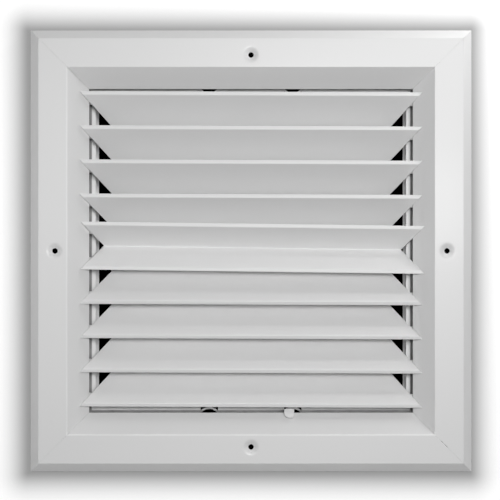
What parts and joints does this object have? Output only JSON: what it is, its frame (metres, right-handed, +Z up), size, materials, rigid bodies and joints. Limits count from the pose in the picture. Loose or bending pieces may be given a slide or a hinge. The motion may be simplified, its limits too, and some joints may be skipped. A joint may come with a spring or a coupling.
{
  "type": "louvred air grille",
  "caption": "Square white louvred air grille for wall or ceiling, with mitred flange, fixed slanted louvres round a centre V and a lever-worked shutter damper behind.",
  "frame": {"origin": "middle of the wall plane, where the flange's outer edge rests", "axes": "+X right, +Y into the wall and duct, +Z up, seen from the room"},
  "size_m": [0.2984, 0.0612, 0.2984],
  "materials": {
    "frame_paint": "white powder coat",
    "louvre_paint": "white powder coat",
    "damper_paint": "white paint on steel sheet",
    "lever_paint": "white paint on steel strip",
    "key_plate": "mill finish",
    "zinc": "zinc plated"
  },
  "bodies": {
    "root": {"top_frame_member": "frame_paint", "right_frame_member": "frame_paint", "bottom_frame_member": "frame_paint", "left_frame_member": "frame_paint", "corner_key_top_right": "key_plate", "corner_key_bottom_right": "key_plate", "corner_key_bottom_left": "key_plate", "corner_key_top_left": "key_plate", "louvre_1": "louvre_paint", "louvre_2": "louvre_paint", "louvre_3": "louvre_paint", "louvre_4": "louvre_paint", "louvre_5": "louvre_paint", "louvre_6": "louvre_paint", "louvre_7": "louvre_paint", "louvre_8": "louvre_paint", "centre_louvre": "louvre_paint", "louvre_screws": "zinc", "damper_screws": "zinc", "damper_top_rail": "damper_paint", "damper_bottom_rail": "damper_paint", "damper_right_side": "damper_paint", "damper_left_side": "damper_paint", "damper_corner_rivets": "zinc", "lever_rivet": "zinc"},
    "shutter_1": {"shutter_1": "damper_paint", "shutter_1_pins": "zinc"},
    "shutter_2": {"shutter_2": "damper_paint", "shutter_2_pins": "zinc"},
    "shutter_3": {"shutter_3": "damper_paint", "shutter_3_pins": "zinc"},
    "shutter_4": {"shutter_4": "damper_paint", "shutter_4_pins": "zinc"},
    "shutter_5": {"shutter_5": "damper_paint", "shutter_5_pins": "zinc"},
    "shutter_6": {"shutter_6": "damper_paint", "shutter_6_pins": "zinc"},
    "shutter_7": {"shutter_7": "damper_paint", "shutter_7_pins": "zinc"},
    "shutter_8": {"shutter_8": "damper_paint", "shutter_8_pins": "zinc"},
    "link_bar": {"link_bar": "zinc", "link_bar_pin": "zinc"},
    "lever": {"lever": "lever_paint"}
  },
  "joints": [
    {"name": "shutter_4_turn", "type": "hinge", "parent": "root", "child": "shutter_4", "pos_m": [-0.0133, 0.03845, 0], "axis": [0, 0, 1], "range_deg": [0, 84]},
    {"name": "shutter_1_turn", "type": "hinge", "parent": "root", "child": "shutter_1", "pos_m": [-0.09312, 0.03845, 0], "axis": [0, 0, 1], "range_deg": [0, 84]},
    {"name": "shutter_2_turn", "type": "hinge", "parent": "root", "child": "shutter_2", "pos_m": [-0.06652, 0.03845, 0], "axis": [0, 0, 1], "range_deg": [0, 84]},
    {"name": "shutter_3_turn", "type": "hinge", "parent": "root", "child": "shutter_3", "pos_m": [-0.03991, 0.03845, 0], "axis": [0, 0, 1], "range_deg": [0, 84]},
    {"name": "shutter_5_turn", "type": "hinge", "parent": "root", "child": "shutter_5", "pos_m": [0.0133, 0.03845, 0], "axis": [0, 0, 1], "range_deg": [0, 84]},
    {"name": "shutter_6_turn", "type": "hinge", "parent": "root", "child": "shutter_6", "pos_m": [0.03991, 0.03845, 0], "axis": [0, 0, 1], "range_deg": [0, 84]},
    {"name": "shutter_7_turn", "type": "hinge", "parent": "root", "child": "shutter_7", "pos_m": [0.06652, 0.03845, 0], "axis": [0, 0, 1], "range_deg": [0, 84]},
    {"name": "shutter_8_turn", "type": "hinge", "parent": "root", "child": "shutter_8", "pos_m": [0.09312, 0.03845, 0], "axis": [0, 0, 1], "range_deg": [0, 84]},
    {"name": "link_bar_swing", "type": "hinge", "parent": "shutter_4", "child": "link_bar", "pos_m": [-0.00909, 0.04313, 0], "axis": [0, 0, 1], "range_deg": [-84, 0]},
    {"name": "lever_turn", "type": "hinge", "parent": "root", "child": "lever", "pos_m": [0.0289, 0.027, 0], "axis": [0, 0, 1], "range_deg": [0, 29.3]}
  ],
  "couplings": [
    {"joint": "shutter_1_turn", "follows": "shutter_4_turn", "ratio": 1},
    {"joint": "shutter_2_turn", "follows": "shutter_4_turn", "ratio": 1},
    {"joint": "shutter_3_turn", "follows": "shutter_4_turn", "ratio": 1},
    {"joint": "shutter_5_turn", "follows": "shutter_4_turn", "ratio": 1},
    {"joint": "shutter_6_turn", "follows": "shutter_4_turn", "ratio": 1},
    {"joint": "shutter_7_turn", "follows": "shutter_4_turn", "ratio": 1},
    {"joint": "shutter_8_turn", "follows": "shutter_4_turn", "ratio": 1},
    {"joint": "link_bar_swing", "follows": "shutter_4_turn", "ratio": -1},
    {"joint": "lever_turn", "follows": "shutter_4_turn", "ratio": 0.3487}
  ]
}
